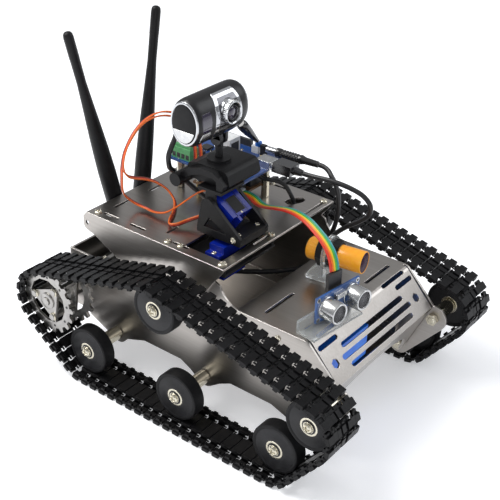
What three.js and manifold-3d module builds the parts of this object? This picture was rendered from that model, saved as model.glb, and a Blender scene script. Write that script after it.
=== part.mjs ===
// A tracked robot chassis: a folded stainless shell on two link tracks, with a deck that carries a camera mast,
// control boards, two antennas and two distance sensors. Millimetres, +Z up. The front faces -Y, the right side
// is -X, and the origin is on the ground under the middle.
import * as THREE from 'three';
import { mergeVertices } from 'three/addons/utils/BufferGeometryUtils.js';
import Module from 'manifold-3d';

const wasm = await Module();
wasm.setup();

// ---- Driving dimensions ----
const GAP = 0.3; // clearance between touching pieces
const SHEET = 1.5; // thickness of the folded sheet

const WHEEL = { radius: 17.5, inner: 81, outer: 91, bore: 2.8, hub: 8.5 };
const IDLERS = [
  ['rear_low', 75.5, 21.6],
  ['middle_low', -6.5, 21.6],
  ['front_low', -88.5, 21.6],
  ['front_high', -112.9, 52.6],
  ['top', 10.6, 83.0],
];
const SPROCKET = { y: 108.5, z: 52.1, tip: 25, root: 21.8, teeth: 18, outer: 94, inner: 75, disc: 2 };
const BELT = { onWheels: 17.8, onSprocket: 22.2 };
const TRACK = { inner: 68, outer: 101, web: 2.4, height: 3.8, links: 70 };

const SHELL = { half: 60.2, top: 86, hoodRear: -33, bend: -88.7, sillZ: 25.4, rearY: 120.3, rearZ: 76 };
const NOSE = { slope: 48, length: 33.3, half: 57.5, toeY: -91.8, toeZ: 18.3 };
const DECK = { half: 62, top: 112.8, front: -23.2, rear: 98.7 };
const FLOOR = { bottom: 28, half: 58.4, front: -86, rear: 118.5, rim: 8 };

const PAN = { x: -23, y: 0 };
const TILT = { y: 10, z: 137 };
const CAMERA = { x: -25, y: 18.5, z: 196.2, length: 50, depth: 25, height: 32.5 };
const LENS = { x: -21, z: 199.2, front: 2.1 };
const STEM = { x: -16, y: 18.5, z: 176 };
const ANTENNAS = [['right', -18.9, -14.6, 168], ['left', -3.2, 9, 163]];
const ANTENNA = { y: 106.5, z: 76 };
const SONAR = { x: -23.4, y: -85.2, z: 97.2, yaw: -7.1, half: 20.4, tall: 9.1, can: 7.2, spread: 11.8 };
const INFRARED = { x: 12, y: -60, z: 104.9, yaw: 8.1, radius: 7.7 };
const BOARD = { x: 5.2, y: 15, top: 136, width: 55, depth: 68, thick: 1.6 };

// ---- Finishes ----
const finish = (color, roughness, metalness) => () =>
  new THREE.MeshStandardMaterial({ color, roughness, metalness });
const stainless = finish(0x8d867f, 0.32, 1);
const nickel = finish(0xb9b39c, 0.3, 1);
const brightSteel = finish(0xb7b4b0, 0.35, 1);
const trackPlastic = finish(0x17161a, 0.55, 0);
const wheelPlastic = finish(0x3a3a3e, 0.6, 0);
const blackPlastic = finish(0x1b1b1d, 0.6, 0);
const glossBlack = finish(0x0e0e10, 0.25, 0);
const blueServo = finish(0x1426b4, 0.2, 0);
const blueWrap = finish(0x1746c8, 0.35, 0);
const boardBlue = finish(0x12408c, 0.45, 0.1);
const boardBrown = finish(0x8a5a34, 0.5, 0.2);
const acrylic = finish(0xdfe6e8, 0.08, 0);
const orangeBarrel = finish(0xff9208, 0.4, 0);
const orangeLead = finish(0xe85a12, 0.5, 0);
const ribbonLead = finish(0xd8b020, 0.5, 0);
const blackLead = finish(0x0f0f10, 0.5, 0);

// ---- Solids ----
const radians = THREE.MathUtils.degToRad;
const degrees = THREE.MathUtils.radToDeg;

function solid(geometry) {
  const bare = geometry.clone();
  bare.deleteAttribute('normal');
  bare.deleteAttribute('uv');
  const merged = mergeVertices(bare, 1e-4);
  return new wasm.Manifold(new wasm.Mesh({
    numProp: 3,
    vertProperties: new Float32Array(merged.attributes.position.array),
    triVerts: new Uint32Array(merged.index.array),
  }));
}

function surface(manifold) {
  const mesh = manifold.getMesh();
  const geometry = new THREE.BufferGeometry();
  geometry.setAttribute('position', new THREE.BufferAttribute(new Float32Array(mesh.vertProperties), 3));
  geometry.setIndex(new THREE.BufferAttribute(new Uint32Array(mesh.triVerts), 1));
  geometry.computeVertexNormals();
  return geometry;
}

const join = (...parts) => parts.flat().reduce((whole, part) => whole.add(part));
const cut = (body, ...tools) => tools.flat().reduce((whole, tool) => whole.subtract(tool), body);

function block(x0, x1, y0, y1, z0, z1) {
  const geometry = new THREE.BoxGeometry(x1 - x0, y1 - y0, z1 - z0);
  return solid(geometry.translate((x0 + x1) / 2, (y0 + y1) / 2, (z0 + z1) / 2));
}

// A round bar from 'from' to 'to' along one axis, centred on the other two coordinates.
function bar(axis, radius, from, to, a, b, sides = 20) {
  const geometry = new THREE.CylinderGeometry(radius, radius, to - from, sides);
  geometry.translate(0, (from + to) / 2, 0);
  if (axis === 'x') geometry.rotateZ(-Math.PI / 2).translate(0, a, b);
  if (axis === 'y') geometry.translate(a, 0, b);
  if (axis === 'z') geometry.rotateX(Math.PI / 2).translate(a, b, 0);
  return solid(geometry);
}

// A closed turned profile of [radius, height] points, about +Z.
function turned(profile, sides = 20) {
  const points = profile.map(([radius, height]) => new THREE.Vector2(radius, height));
  return solid(new THREE.LatheGeometry(points, sides).rotateX(Math.PI / 2));
}

function outline(points, hole) {
  const shape = new THREE.Shape(points.map(([u, v]) => new THREE.Vector2(u, v)));
  if (hole) shape.holes.push(new THREE.Path(hole.map(([u, v]) => new THREE.Vector2(u, v))));
  return shape;
}

// An outline in Y and Z, carried along X from x0 to x1.
function plateX(points, x0, x1, hole) {
  const geometry = new THREE.ExtrudeGeometry(outline(points, hole), { depth: x1 - x0, bevelEnabled: false });
  const turn = new THREE.Matrix4().makeBasis(
    new THREE.Vector3(0, 1, 0), new THREE.Vector3(0, 0, 1), new THREE.Vector3(1, 0, 0));
  return solid(geometry.applyMatrix4(turn).translate(x0, 0, 0));
}

// An outline in X and Y, carried up from z0 to z1.
function plateZ(points, z0, z1) {
  const geometry = new THREE.ExtrudeGeometry(outline(points), { depth: z1 - z0, bevelEnabled: false });
  return solid(geometry.translate(0, 0, z0));
}

function arc(u, v, radius, from, to, steps) {
  return Array.from({ length: steps + 1 }, (_, i) => {
    const angle = radians(from + ((to - from) * i) / steps);
    return [u + radius * Math.cos(angle), v + radius * Math.sin(angle)];
  });
}

// The outline of a straight slot with round ends, from one end centre to the other.
function slotOutline(u0, v0, u1, v1, radius, steps = 3) {
  const heading = degrees(Math.atan2(v1 - v0, u1 - u0));
  return [
    ...arc(u1, v1, radius, heading - 90, heading + 90, steps),
    ...arc(u0, v0, radius, heading + 90, heading + 270, steps),
  ];
}

const group = new THREE.Group();

function add(name, shape, makeMaterial, parent = group) {
  const mesh = new THREE.Mesh(surface(shape), makeMaterial());
  mesh.name = name;
  parent.add(mesh);
  return mesh;
}

const SIDES = [['right', -1], ['left', 1]];
const mirrored = (shape, side) => (side > 0 ? shape : shape.mirror([1, 0, 0]));

// ---- Chassis ----
const NOSE_DOWN = radians(NOSE.slope);
const BEND_RADIUS = 6;
const NOSE_END = {
  y: SHELL.bend - NOSE.length * Math.cos(NOSE_DOWN),
  z: SHELL.top - NOSE.length * Math.sin(NOSE_DOWN),
};

// The hood's front bend, as an arc from the flat to the slope, 'inset' millimetres inside the outer face.
function bendArc(inset) {
  const tangent = BEND_RADIUS * Math.tan(NOSE_DOWN / 2);
  return arc(SHELL.bend + tangent, SHELL.top - BEND_RADIUS, BEND_RADIUS - inset, 90, 90 + NOSE.slope, 3);
}

function sidePlate(side) {
  const lobe = 8.3;
  const ear = 9.7;
  const low = IDLERS.slice(0, 3).map(([, y, z]) => [y, z]);
  const [rearLow, middleLow, frontLow] = low;
  const front = IDLERS[3];
  const edge = [
    [front[1] - 6.9, front[2] - 6.9],
    [frontLow[0] - 5.9, frontLow[1] - 5.9],
    [frontLow[0] + 5.9, frontLow[1] - 5.9],
    [frontLow[0] + 13, frontLow[1] - 0.8],
    [frontLow[0] + 26, SHELL.sillZ],
    [middleLow[0] - 22, SHELL.sillZ],
    [middleLow[0] - 13, middleLow[1] - 0.8],
    [middleLow[0] - 5.9, middleLow[1] - 5.9],
    [middleLow[0] + 5.9, middleLow[1] - 5.9],
    [middleLow[0] + 13, middleLow[1] - 0.8],
    [middleLow[0] + 22, SHELL.sillZ],
    [rearLow[0] - 26, SHELL.sillZ],
    [rearLow[0] - 9, rearLow[1] - 2.4],
    [rearLow[0] - 5.9, rearLow[1] - 5.9],
    [rearLow[0] + 5.9, rearLow[1] - 5.9],
    [102.3, SHELL.sillZ],
    [SHELL.rearY, 40],
    [SHELL.rearY, SHELL.rearZ],
    [74, SHELL.rearZ],
    [60, 100],
    [-14.8, 100],
    ...arc(-36, 104, 18, -18, -90, 6),
    [-38, SHELL.top],
    ...bendArc(0).slice(0, -1),
    [NOSE_END.y, NOSE_END.z + 1.8],
  ];
  const inner = SHELL.half - SHEET;
  const plate = plateX(edge, inner, SHELL.half);
  const lobes = low.map(([y, z]) => bar('x', lobe, inner, SHELL.half, y, z, 20));
  const nose = bar('x', ear, inner, SHELL.half, front[1], front[2], 24);
  const holes = IDLERS.map(([, y, z]) => bar('x', 2.9, inner - 1, SHELL.half + 1, y, z, 10));
  const shaftHole = bar('x', 3.6, inner - 1, SHELL.half + 1, SPROCKET.y, SPROCKET.z, 12);
  return mirrored(cut(join(plate, lobes, nose), holes, shaftHole), side);
}

// Cuts a slot through the sloping front, across the sheet, 'down' millimetres below the bend.
function noseSlot(x0, x1, down, radius) {
  const tool = plateZ(slotOutline(x0, 0, x1, 0, radius), -4, 4);
  const y = SHELL.bend - down * Math.cos(NOSE_DOWN);
  const z = SHELL.top - down * Math.sin(NOSE_DOWN);
  return tool.rotate([NOSE.slope, 0, 0]).translate([0, y, z]);
}

function bodyShell() {
  const top = SHELL.top;
  const strip = [
    [SHELL.hoodRear, top], ...bendArc(0), [NOSE_END.y, NOSE_END.z], [NOSE.toeY, NOSE.toeZ],
    [NOSE.toeY + 1.6, NOSE.toeZ + 0.5], [NOSE_END.y + 2.1, NOSE_END.z - 0.2],
    ...bendArc(SHEET).reverse(), [SHELL.hoodRear, top - SHEET],
  ].reverse();
  const folded = plateX(strip, -NOSE.half, NOSE.half);
  const hood = block(-SHELL.half, SHELL.half, SHELL.bend + 3, SHELL.hoodRear, top - SHEET, top);
  const arch = new THREE.CylinderGeometry(1, 1, 60, 24).scale(NOSE.half - 3, 1, 34);
  const archCut = solid(arch.translate(0, NOSE.toeY, NOSE.toeZ - 1));
  const hoodSlots = [-49, -78.6].flatMap((y) => [-1, 1].map((side) =>
    plateZ(slotOutline(side * 21.5, y, side * 49.5, y, 1.4), top - 4, top + 4)));
  const bendSlots = [-1, 1].flatMap((side) => [
    noseSlot(side * 25.5, side * 50.5, 1.2, 1.4), noseSlot(side * 37, side * 54.5, 7.6, 1.7)]);
  const frontSlots = [[35, 14.5], [39.5, 21.3], [35.5, 28.2]].map(([half, down]) =>
    noseSlot(-half, half, down, 1.9));
  const roundHoles = [-49, 49].map((x) => noseSlot(x - 0.01, x + 0.01, 20.9, 3.4));
  const sides = SIDES.map(([, side]) => sidePlate(side));
  const nutRelief = bar('x', 5.4, 54, 58, IDLERS[2][1], IDLERS[2][2], 12);
  const reliefs = SIDES.map(([, side]) => mirrored(nutRelief, side));
  return cut(join(cut(folded, archCut, reliefs), hood, sides), hoodSlots, bendSlots, frontSlots, roundHoles);
}
add('body_shell', bodyShell(), stainless);

function floorPan() {
  const base = block(-FLOOR.half, FLOOR.half, FLOOR.front, FLOOR.rear, FLOOR.bottom, FLOOR.bottom + SHEET);
  const rims = [-1, 1].map((side) => {
    const x = side > 0 ? FLOOR.half - SHEET : -FLOOR.half;
    return block(x, x + SHEET, FLOOR.front, FLOOR.rear, FLOOR.bottom, FLOOR.bottom + FLOOR.rim);
  });
  const rear = block(-FLOOR.half, FLOOR.half, FLOOR.rear - 0.2, FLOOR.rear + SHEET, FLOOR.bottom, SHELL.rearZ);
  return join(base, rims, rear);
}
add('floor_pan', floorPan(), stainless);

function deckPlate() {
  const top = DECK.top;
  const sheet = block(-DECK.half, DECK.half, DECK.front, DECK.rear, top - SHEET, top);
  const flange = [
    [DECK.front, top], [-22.3, 109.6], [-15, 100], [-8, 90], [22, 90], [30, 84], [69.5, 84], [72, 86.5],
    [92, 97], [99.2, 98.8], ...arc(98.2, 102.8, 4, -60, 0, 3), [102.2, 108.6], [98.7, top],
  ];
  const flanges = SIDES.map(([, side]) => mirrored(cut(plateX(flange, DECK.half - SHEET, DECK.half),
    bar('x', 1.6, DECK.half - 3, DECK.half + 1, 98.6, 104.4, 12)), side));
  const through = (points) => plateZ(points, top - 4, top + 4);
  const longSlots = [-1, 1].flatMap((side) => [81, 56.5, 18].map((y) =>
    through(slotOutline(side * 55.4, y - 6, side * 55.4, y + 6, 1.1, 4))));
  const crossSlots = [[-44, -30, 88.5], [-10, 1, 87.5], [30, 44, 88.5], [-48, -39, 36], [32.5, 56, -18.8],
    [-23, -5, -18.2]].map(([x0, x1, y]) => through(slotOutline(x0, y, x1, y, 1.1, 4)));
  const leadHole = through(slotOutline(41, -0.5, 48, -3.5, 4.4));
  const servoHole = block(-54, -7, -15.5, 16, top - 4, top + 4);
  return cut(join(sheet, flanges), longSlots, crossSlots, leadHole, servoHole);
}
add('deck_plate', deckPlate(), stainless);

add('battery_pack', join(
  block(-50, 20, -84, -44, 31, 55.5),
  bar('x', 9, -50, 20, -75, 48, 24),
  bar('x', 9, -50, 20, -53, 48, 24),
), blueWrap);

// ---- Running gear ----
function onAxle(shape, side, y, z) {
  return shape.rotate([0, side * 90, 0]).translate([0, y, z]);
}

function idlerWheel() {
  const { radius, inner, outer, bore, hub } = WHEEL;
  return turned([
    [bore, inner], [radius, inner], [radius, outer - 0.6], [hub, outer - 0.6], [hub, outer + 0.3],
    [bore, outer + 0.3], [bore, inner],
  ], 16);
}

function axle() {
  const plate = SHELL.half;
  const head = WHEEL.outer + 0.8;
  return turned([
    [0, 54.8], [4, 54.8], [4, plate - SHEET - GAP], [2.5, plate - SHEET - GAP],
    [2.5, plate + GAP], [5, plate + GAP], [5, WHEEL.inner - 0.5], [2.5, WHEEL.inner - 0.5], [2.5, head],
    [4.7, head], [3.4, head + 2.2], [0, head + 2.6],
  ], 8);
}

for (const [label, side] of SIDES) {
  for (const [place, y, z] of IDLERS) {
    add(`axle_${label}_${place}`, onAxle(axle(), side, y, z), nickel);
    add(`wheel_${label}_${place}`, onAxle(idlerWheel(), side, y, z), wheelPlastic);
  }
}

function toothedDisc(x0) {
  const { tip, root, teeth, disc } = SPROCKET;
  const rim = Array.from({ length: teeth }, (_, i) => {
    const at = (share, radius) => {
      const angle = ((i + share) * 2 * Math.PI) / teeth;
      return [radius * Math.cos(angle), radius * Math.sin(angle)];
    };
    return [at(-0.3, root), at(-0.14, tip), at(0.14, tip), at(0.3, root)];
  }).flat();
  const ring = plateX(rim, x0, x0 + disc);
  const windows = [67.7, 187.7, 307.7].map((angle) => {
    const chord = 7.6;
    const radius = 17;
    const half = degrees(Math.acos(chord / radius)) - 4;
    return plateX(arc(0, 0, radius, angle - half, angle + half, 4), x0 - 1, x0 + disc + 1);
  });
  return cut(ring, windows);
}

const BOLT_ANGLES = [7.7, 127.7, 247.7];
for (const [label, side] of SIDES) {
  const { y, z, outer, inner, disc } = SPROCKET;
  const half = disc / 2;
  const place = (shape) => mirrored(shape, side).translate([0, y, z]);
  const bolts = BOLT_ANGLES.map((angle) => {
    const [[u, v]] = arc(0, 0, 12.4, angle, angle, 1);
    return [u, v];
  });
  const shaft = bar('x', 3, SHELL.half - SHEET + 0.4, outer + half + 2.2, 0, 0, 12);
  const coupling = bar('x', 7, 66, inner + 4, 0, 0, 16);
  const standoffs = bolts.map(([u, v]) => bar('x', 2.6, inner, outer + half + 1.8, u, v, 6));
  const discs = [inner, outer].map((x) => toothedDisc(x - half));
  add(`sprocket_${label}`, place(join(discs, shaft, coupling, standoffs)), brightSteel);
  const motor = join(
    bar('x', 9.5, 12, 52, 0, 0, 20),
    bar('x', 9.2, 51, 58.4, 0, 0, 20),
    block(10, 14, -4, 4, -4, 4),
  );
  add(`motor_${label}`, place(motor), brightSteel);
}

// The belt's path round its wheels, as lines and arcs joined end to end, each with the outward direction.
function beltPath() {
  const stops = ['front_low', 'rear_low', null, 'top', 'front_high'].map((name) => {
    const found = IDLERS.find(([place]) => place === name);
    return found ? { y: found[1], z: found[2], r: BELT.onWheels }
      : { y: SPROCKET.y, z: SPROCKET.z, r: BELT.onSprocket };
  });
  const tangents = stops.map((a, i) => {
    const b = stops[(i + 1) % stops.length];
    const length = Math.hypot(b.y - a.y, b.z - a.z);
    const heading = Math.atan2(b.z - a.z, b.y - a.y);
    return { normal: heading - Math.acos((a.r - b.r) / length), a, b };
  });
  const pieces = [];
  tangents.forEach(({ normal, a, b }, i) => {
    const [c, s] = [Math.cos(normal), Math.sin(normal)];
    const from = [a.y + a.r * c, a.z + a.r * s];
    const to = [b.y + b.r * c, b.z + b.r * s];
    pieces.push({ length: Math.hypot(to[0] - from[0], to[1] - from[1]), from, to, normal });
    let sweep = tangents[(i + 1) % tangents.length].normal - normal;
    while (sweep < 0) sweep += 2 * Math.PI;
    pieces.push({ length: sweep * b.r, centre: b, start: normal, sweep });
  });
  return pieces;
}

const PATH = beltPath();
const BELT_LENGTH = PATH.reduce((sum, piece) => sum + piece.length, 0);

// The point 'height' outside the belt's inner face, 'along' millimetres round it.
function beltPoint(along, height) {
  let rest = along % BELT_LENGTH;
  const piece = PATH.find((one) => {
    if (rest <= one.length) return true;
    rest -= one.length;
    return false;
  });
  const share = rest / piece.length;
  if (piece.from) {
    return [
      piece.from[0] + (piece.to[0] - piece.from[0]) * share + height * Math.cos(piece.normal),
      piece.from[1] + (piece.to[1] - piece.from[1]) * share + height * Math.sin(piece.normal),
    ];
  }
  const angle = piece.start + piece.sweep * share;
  const radius = piece.centre.r + height;
  return [piece.centre.y + radius * Math.cos(angle), piece.centre.z + radius * Math.sin(angle)];
}

function track() {
  const pitch = BELT_LENGTH / TRACK.links;
  const outerEdge = Array.from({ length: TRACK.links }, (_, i) => [
    beltPoint((i + 0.25) * pitch, TRACK.web), beltPoint((i + 0.33) * pitch, TRACK.height),
    beltPoint((i + 0.97) * pitch, TRACK.height),
  ]).flat();
  const innerEdge = PATH.filter((piece) => piece.centre).flatMap(({ centre, start, sweep }) =>
    arc(centre.y, centre.z, centre.r, degrees(start), degrees(start + sweep), Math.ceil(sweep / 0.2)));
  const belt = plateX(outerEdge, TRACK.inner, TRACK.outer, innerEdge.reverse());
  const grooves = [SPROCKET.inner, SPROCKET.outer].map((x) =>
    bar('x', SPROCKET.tip + 0.4, x - 1.6, x + 1.6, SPROCKET.y, SPROCKET.z, 40));
  return cut(belt, grooves);
}
for (const [label, side] of SIDES) add(`track_${label}`, mirrored(track(), side), trackPlastic);

// ---- Camera mast ----
function panCradle() {
  const under = DECK.top - SHEET - GAP;
  const plate = block(-57, -4, -20.5, 19.5, 103.4, 105.4);
  const posts = [[-56, -18.6], [-56, 17.6], [-5.5, -18.6], [-5.5, 17.6]].map(([x, y]) =>
    bar('z', 1.6, 105, under, x, y, 10));
  return cut(join(plate, posts), block(-41.1, -16.3, -7, 7, 100, 108));
}
add('pan_cradle', panCradle(), blackPlastic);

add('pan_servo', join(
  block(-40.4, -17.2, -6, 6, 88, 112.6),
  block(-44.9, -12.7, -6, 6, 105.7, 108),
  bar('z', 5.8, 112, 114.6, PAN.x, PAN.y, 20),
), blueServo);

function panYoke() {
  const floor = block(-38, -8, -17, 19, 116.2, 118.8);
  const nose = block(-38, -8, -17.5, -6, 116.2, 121.5);
  const spline = bar('z', 4.5, 114.9, 117, PAN.x, PAN.y, 16);
  const armEdge = [
    ...arc(TILT.y, TILT.z, 5.6, 0, 130, 6), ...arc(-14.5, 119.7, 3.4, 140, 250, 4),
    ...arc(15.6, 120, 3.4, -80, 0, 3),
  ];
  const window = [[8.6, 129.6], [13.4, 121.6], [-5.8, 121.6]];
  const nearArm = cut(plateX(armEdge, -38, -35.5), plateX(window, -40, -34));
  const farEdge = [
    ...arc(TILT.y, TILT.z, 4.6, -20, 130, 6), ...arc(-14.5, 119.7, 3.4, 140, 290, 4),
    [-6.5, 118.6], [12.4, 131.4],
  ];
  const farArm = plateX(farEdge, -10.5, -8);
  return join(floor, nose, spline, nearArm, farArm);
}
add('pan_yoke', panYoke(), blackPlastic);

const TILT_SERVO = { x0: -32.8, x1: -13.2, slant: 33.7, near: 5.9, far: 17.3, half: 6 };
function tiltServo() {
  const { x0, x1, slant, near, far, half } = TILT_SERVO;
  const body = block(x0, x1, -far, near, -half, half);
  const tabs = block(x0 + 4, x0 + 6.4, -far - 3.6, near + 1.5, -half + 0.4, half - 0.4);
  return join(body, tabs).rotate([slant, 0, 0]).translate([0, TILT.y, TILT.z]);
}
add('tilt_servo', tiltServo(), blueServo);

function tiltBracket() {
  const cheek = (x0, x1) => join(
    bar('x', 5.2, x0, x1, TILT.y, TILT.z, 24), block(x0, x1, TILT.y - 4, TILT.y + 4, TILT.z, 147.9));
  return join(cheek(-35.2, -33.2), cheek(-12.8, -10.8), block(-35.2, -10.8, 1, 21, 146.1, 148));
}
add('tilt_bracket', tiltBracket(), blackPlastic);

function cameraClip() {
  const base = 148.3;
  const edge = [
    [1.5, base], [33, base], ...arc(31, 156, 3.5, 0, 90, 3), [27, 160.6], [6.5, 160.6],
    ...arc(5.5, 155, 5.6, 90, 150, 4), [-1, 151.5],
  ];
  const body = plateX(edge, -29, 4);
  const boss = bar('z', 8, 160, 162.4, STEM.x, STEM.y, 28);
  const strap = [
    [4, 157.5], [9, 160], [20, 160], [30, 157.5], [38, 151], [38, 145], [33, 149.5], [26, 153.5], [18, 156],
    [9, 156.2], [6, 154.5], [6, base], [1.5, base], [0, 152],
  ].reverse();
  const leg = plateX(strap, -34, -28.8);
  const roller = bar('x', 4.7, -38, -14, 38, 147.6, 20);
  return join(body, boss, leg, roller);
}
add('camera_clip', cameraClip(), blackPlastic);

add('camera_stem', join(
  bar('z', 2.7, 162.7, 171, STEM.x, STEM.y, 16),
  block(STEM.x - 1.2, STEM.x + 1.2, STEM.y - 2.6, STEM.y + 2.6, 170, STEM.z),
  bar('x', 3.5, STEM.x - 1.2, STEM.x + 1.2, STEM.y, STEM.z, 20),
), blackPlastic);

function cameraBody() {
  const { x, y, z, length, depth, height } = CAMERA;
  const half = length / 2;
  const section = (scale) => Array.from({ length: 18 }, (_, i) => {
    const angle = (i / 18) * 2 * Math.PI;
    return [y + (scale * depth / 2) * Math.cos(angle), z + (scale * height / 2) * Math.sin(angle)];
  });
  const barrel = join(
    plateX(section(1), x - half + 3, x + half - 3),
    plateX(section(0.95), x - half + 1, x + half - 1),
    plateX(section(0.86), x - half, x + half),
  );
  const lugs = [-1, 1].map((side) => {
    const near = STEM.x + side * 1.5;
    const far = STEM.x + side * 4;
    const [x0, x1] = [Math.min(near, far), Math.max(near, far)];
    return join(bar('x', 4.4, x0, x1, STEM.y, STEM.z, 14),
      block(x0, x1, STEM.y - 4.4, STEM.y + 4.4, STEM.z, z - height / 2 + 1.5));
  });
  const { x: lensX, z: lensZ, front } = LENS;
  const relief = bar('y', 7.8, front + 3.8, y, lensX, lensZ, 16);
  const pocket = bar('y', 6.6, front, front + 5.4, lensX, lensZ, 16);
  const lens = bar('y', 4.4, front + 1.6, front + 7, lensX, lensZ, 16);
  return join(cut(join(barrel, relief), pocket), lens, lugs);
}
add('camera_body', cameraBody(), blackPlastic);

add('focus_ring', cut(
  bar('y', 7.8, LENS.front, LENS.front + 3.5, LENS.x, LENS.z, 20),
  bar('y', 4.9, LENS.front - 1, LENS.front + 5, LENS.x, LENS.z, 20),
), finish(0xc8c8cc, 0.12, 1));

for (const [label, x, lean, top] of ANTENNAS) {
  const place = (shape) => shape.rotate([0, lean, 0]).translate([x, ANTENNA.y, ANTENNA.z]);
  const base = join(
    bar('y', 4.8, -13.9, -8.8, 0, 0, 20),
    block(-1.8, 1.8, -9.5, 0, -3.4, 3.4),
    bar('x', 3.8, -1.8, 1.8, 0, 0, 20),
  );
  add(`antenna_${label}_base`, place(base), blackPlastic);
  const blade = turned([
    [0, -5], [5, -5], [6.3, -3.5], [6.3, top - 112], [6, top - 100], [5.2, top - 80], [4, top - 56],
    [3.2, top - 38], [3.3, top - 4], [2.4, top - 1], [0, top],
  ], 16);
  const fork = cut(blade, block(-2.1, 2.1, -8, 8, -6, 7.5));
  add(`antenna_${label}_blade`, place(fork), blackPlastic);
}

// ---- Sensors ----
const sonar = new THREE.Group();
sonar.position.set(SONAR.x, SONAR.y, SONAR.z);
sonar.rotation.z = radians(SONAR.yaw);
group.add(sonar);

const { half, tall, can, spread } = SONAR;
const cans = [-spread, spread].map((x) =>
  cut(bar('y', can, -12, 0.4, x, 0, 20), bar('y', can - 1.5, -13, -11.2, x, 0, 20)));
const header = join(block(-5.5, 7, 1.2, 4.2, 5, 7.6), block(-5.5, 7, 3.9, 6.6, 5, 18));
const crystal = block(-4.2, 4.2, -3, 0.2, 3, 6.2);
const sonarBoard = join(block(-half, half, 0, 1.6, -tall, tall), cans, crystal, header);
add('ultrasonic_board', sonarBoard, boardBlue, sonar);
const sonarFoot = SHELL.top + GAP - SONAR.z;
add('ultrasonic_bracket', join(
  block(-34, 12, -11, 3.9, sonarFoot, sonarFoot + 1.5),
  block(-34, 12, 1.9, 3.9, sonarFoot, sonarFoot + 9),
), acrylic, sonar);

const infrared = new THREE.Group();
infrared.position.set(INFRARED.x, INFRARED.y, INFRARED.z);
infrared.rotation.z = radians(INFRARED.yaw);
group.add(infrared);

add('infrared_barrel', join(
  bar('y', INFRARED.radius, -20.2, 20.2, 0, 0, 24),
  [[6.8, 11.6], [-2.2, 2.6]].map(([from, to]) => bar('y', INFRARED.radius + 2.7, from, to, 0, 0, 6)),
), orangeBarrel, infrared);
const infraredFoot = SHELL.top + GAP - INFRARED.z;
add('infrared_bracket', cut(join(
  bar('y', 12.2, 3, 6.4, 0, 0, 24), block(-9, 9, 3, 6.4, infraredFoot, 0),
  block(-9, 9, 3, 18, infraredFoot, infraredFoot + 3),
), bar('y', INFRARED.radius + 0.4, 0, 8, 0, 0, 24)), acrylic, infrared);

// ---- Boards ----
const deckTop = DECK.top + GAP;
const PADS = [[31, 3.6], [51.5, 60], [4.5, 60]];

// Everything on the board is placed from its front right corner, on its upper face.
function controllerBoard() {
  const { width, depth, top, thick } = BOARD;
  const legs = PADS.map(([x, y]) => bar('z', 2.8, deckTop - top, 0.5 - thick, x, y, 6));
  const on = (x0, x1, y0, y1, height) => block(x0, x1, y0, y1, -0.2, height);
  return join(
    block(0, width, 0, depth, -thick, 0),
    legs,
    on(2, 11, 49, 66, 11), // screw terminal
    on(23, 35, 30, 43, 15), // network socket
    on(28, 38.2, -1.6, 10.5, 5.6), // twin sockets
    on(43.6, 47, 14.4, 18.6, 8.2), // power socket
    on(44.4, 51, 21, 27, 5.4), // trimmer base
    bar('z', 2.6, 5, 8.5, 47.3, 22.6, 12), // trimmer knob
    bar('z', 3.2, -0.2, 9, 35.6, 46.8, 16), // capacitor
    on(2, 4.6, 32, 48.5, 2.4), // header strip
    on(13, 21, 50, 64, 2), // chip
    on(25, 32, 52, 59, 1.6), // chip
  ).translate([BOARD.x, BOARD.y, top]);
}
add('controller_board', controllerBoard(), boardBlue);

add('power_board', join(
  block(8, 46, 22, 62, 120.4, 122),
  [[11, 24.5], [43, 24.5], [11, 59], [43, 59]].map(([x, y]) => bar('z', 1.8, deckTop, 120.8, x, y, 6)),
  block(10, 18, 22.2, 25, 121.8, 125),
  block(11, 23, 26, 35, 121.8, 129),
  block(26, 38, 24, 32, 121.8, 127.5),
  bar('z', 4, 121.8, 131, 30, 40, 14),
), boardBrown);

add('wifi_router', join(
  block(-40, 18, 66, 90, FLOOR.bottom + SHEET + GAP, 84),
  ANTENNAS.map(([, x]) => bar('y', 3.3, 89, 92.3, x, ANTENNA.z, 16)),
), blackPlastic);

// ---- Leads ----
// A lead through hand-set points, with a section of 'sides' sides.
function lead(points, radius, sides = 8) {
  const route = points.map((point) => new THREE.Vector3(...point));
  const curve = new THREE.CatmullRomCurve3(route, false, 'centripetal');
  const steps = Math.min(80, Math.max(16, Math.round(curve.getLength() / 10)));
  const section = outline(arc(0, 0, radius, 0, 360 - 360 / sides, sides - 1));
  return solid(new THREE.ExtrudeGeometry(section, { extrudePath: curve, steps, bevelEnabled: false }));
}

function along(points, geometry) {
  const [from, to] = points.map((point) => new THREE.Vector3(...point));
  const heading = to.sub(from).normalize();
  const turn = new THREE.Quaternion().setFromUnitVectors(new THREE.Vector3(0, 0, 1), heading);
  return geometry.transform(new THREE.Matrix4().compose(from, turn, new THREE.Vector3(1, 1, 1)).elements);
}

const DC_PLUG = [[50.8, 29.1, 141.5], [57.9, -11.4, 139.1]];
const USB_PLUG = [[36.6, 12.4, 140.5], [39.5, -10.8, 138.9]];
add('dc_plug', along(DC_PLUG, turned([
  [0, 0], [2.7, 0], [2.7, 10], [3.4, 10.4], [3.5, 29], [2.4, 31.5], [2.2, 41.2], [0, 41.2],
], 12)), glossBlack);
add('usb_plug', along(USB_PLUG, join(
  block(-5.6, 5.6, -2, 2, 0, 2.6), block(-6.8, 6.8, -3.6, 3.6, 2.4, 17), bar('z', 2.9, 16.5, 23.4, 0, 0, 12),
)), glossBlack);
const BOOT = [[50.3, 37.4, 145.8], [31.5, 38.2, 165.3]];
add('boot', along(BOOT, turned([[0, 0], [1.6, 0], [3.2, 12], [4, 25], [3, 27], [0, 27.6]], 12)), glossBlack);

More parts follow.
